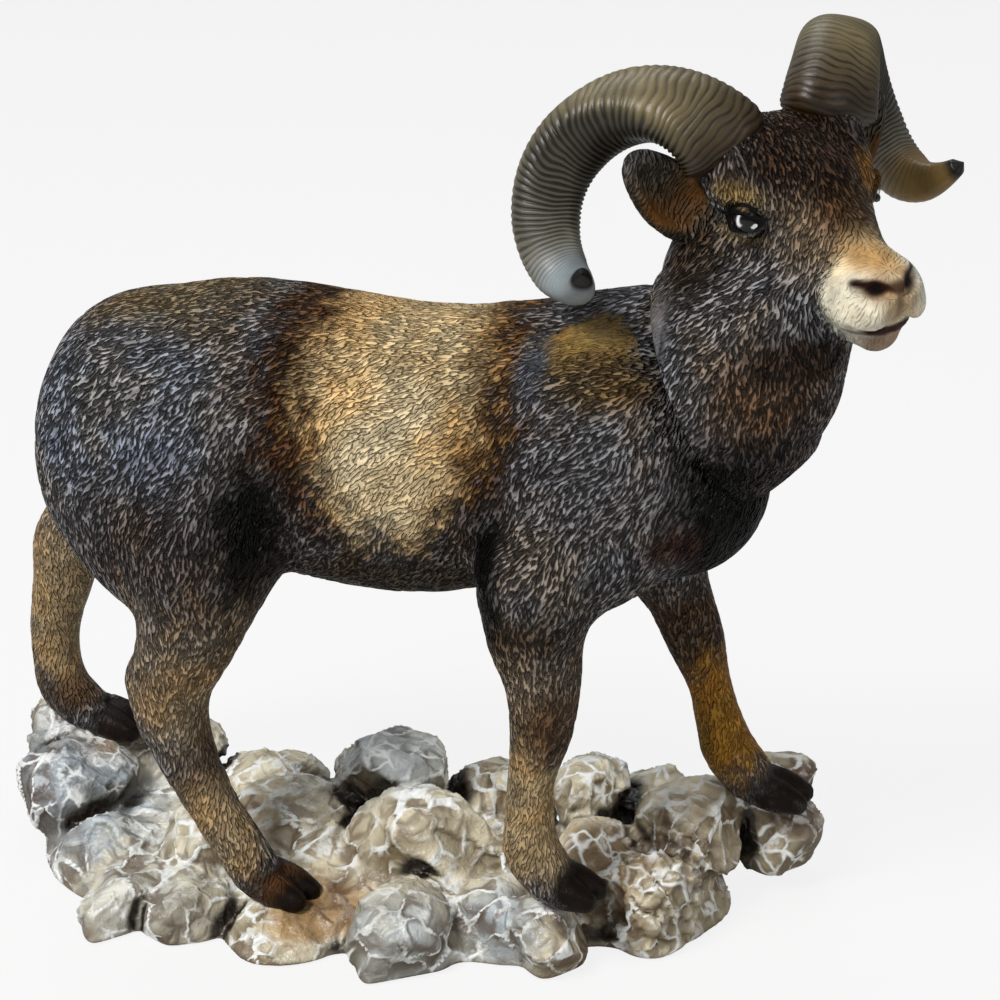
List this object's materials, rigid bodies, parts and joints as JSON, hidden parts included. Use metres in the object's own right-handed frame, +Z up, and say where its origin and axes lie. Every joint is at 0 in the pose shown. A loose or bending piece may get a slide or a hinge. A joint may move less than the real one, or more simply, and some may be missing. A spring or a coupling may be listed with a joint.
{
  "type": "mouflon figurine",
  "caption": "Cast resin figurine of a horned mouflon ram standing on a rocky base, painted all over, for a nativity scene.",
  "frame": {"origin": "on the flat underside of the base, below the ram's belly, midway between its left and right legs", "axes": "+X the way that the ram's body faces, +Y to the ram's left, +Z up from the underside"},
  "size_m": [0.1642, 0.0715, 0.1503],
  "materials": {
    "painted_resin": "hand-painted polyresin: dark brown and tan coat, cream muzzle, grey dry-brushed stones, with a thin satin varnish"
  },
  "bodies": {
    "root": {"mouflon_figure": "painted_resin"}
  },
  "joints": []
}
